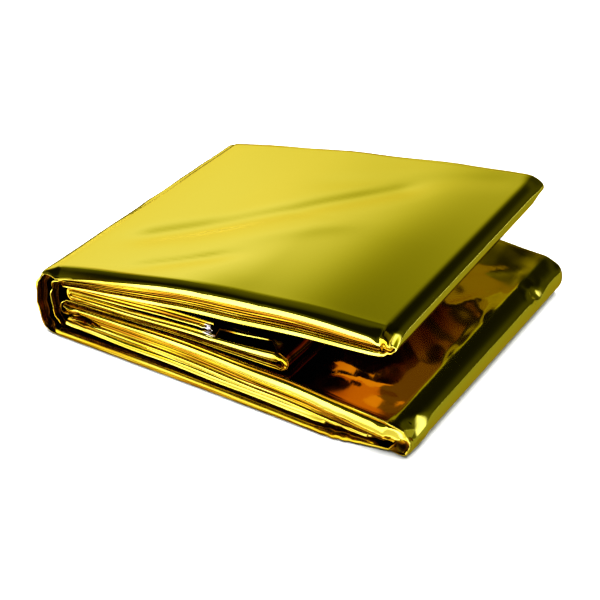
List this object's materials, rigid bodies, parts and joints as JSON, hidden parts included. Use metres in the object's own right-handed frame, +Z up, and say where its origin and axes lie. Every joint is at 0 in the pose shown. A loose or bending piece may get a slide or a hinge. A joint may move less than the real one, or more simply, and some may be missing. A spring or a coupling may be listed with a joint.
{
  "type": "folded emergency foil blanket",
  "caption": "Thin metallised film blanket folded back and forth into a flat rectangular packet, its layers sprung open as a wedge along one side.",
  "frame": {"origin": "centre of the packet's footprint, on the surface that it lies on", "axes": "+X from the folded spine towards the open side, +Y from the front edge towards the back, +Z up"},
  "size_m": [0.1318, 0.1108, 0.0369],
  "materials": {
    "gold_film": "gold-metallised polyester film, mirror-like with a soft satin haze on the smooth top leaf"
  },
  "bodies": {
    "root": {"blanket": "gold_film"}
  },
  "joints": []
}
